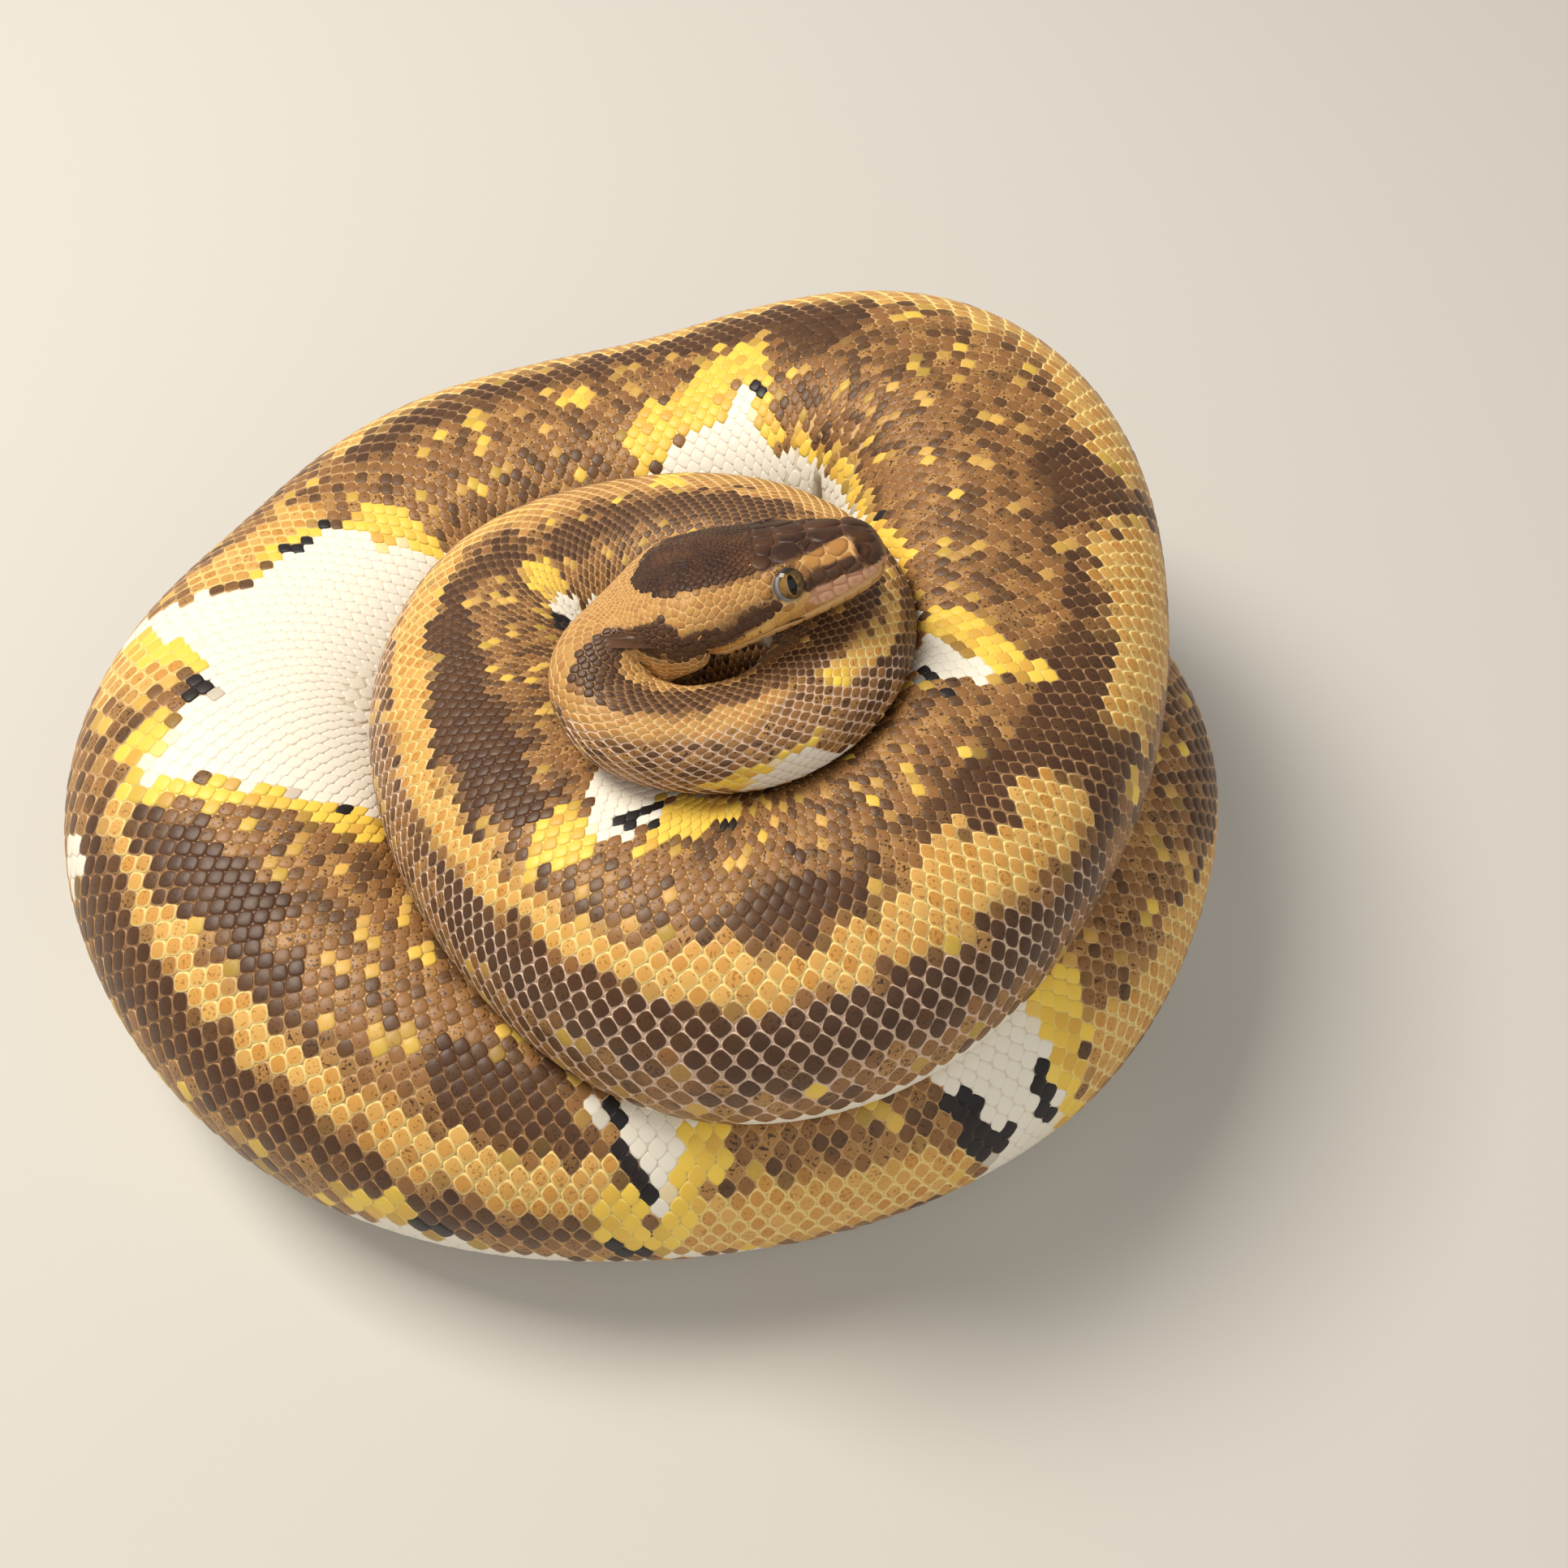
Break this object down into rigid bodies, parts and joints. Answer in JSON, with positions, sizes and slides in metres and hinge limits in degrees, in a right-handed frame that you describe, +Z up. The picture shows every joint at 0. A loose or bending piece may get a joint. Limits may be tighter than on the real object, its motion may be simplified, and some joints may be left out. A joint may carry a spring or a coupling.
{
  "type": "coiled ball python model",
  "caption": "Life-size still model of a pied ball python resting in a stacked coil, its head laid over its neck on top.",
  "frame": {"origin": "on the floor under the middle of the coil's bounding box", "axes": "+X the way the head looks, across the coil's longest side; +Y away from the open front of the coil; +Z up"},
  "size_m": [0.2258, 0.1966, 0.1152],
  "materials": {
    "head_skin": "small glossy scales and smooth plates",
    "jaw_skin": "smooth pale lip and chin plates",
    "body_skin": "glossy overlapping scales, brown and gold with white patches",
    "eye": "clear wet gloss over an olive iris"
  },
  "bodies": {
    "root": {"head": "head_skin", "lower_jaw": "jaw_skin", "eye_left": "eye", "eye_right": "eye", "neck_01": "body_skin", "neck_02": "body_skin", "neck_03": "body_skin", "trunk_01": "body_skin", "trunk_02": "body_skin", "trunk_03": "body_skin", "trunk_04": "body_skin", "trunk_05": "body_skin", "trunk_06": "body_skin", "trunk_07": "body_skin", "trunk_08": "body_skin", "trunk_09": "body_skin", "trunk_10": "body_skin", "tail_01": "body_skin", "tail_02": "body_skin"}
  },
  "joints": []
}
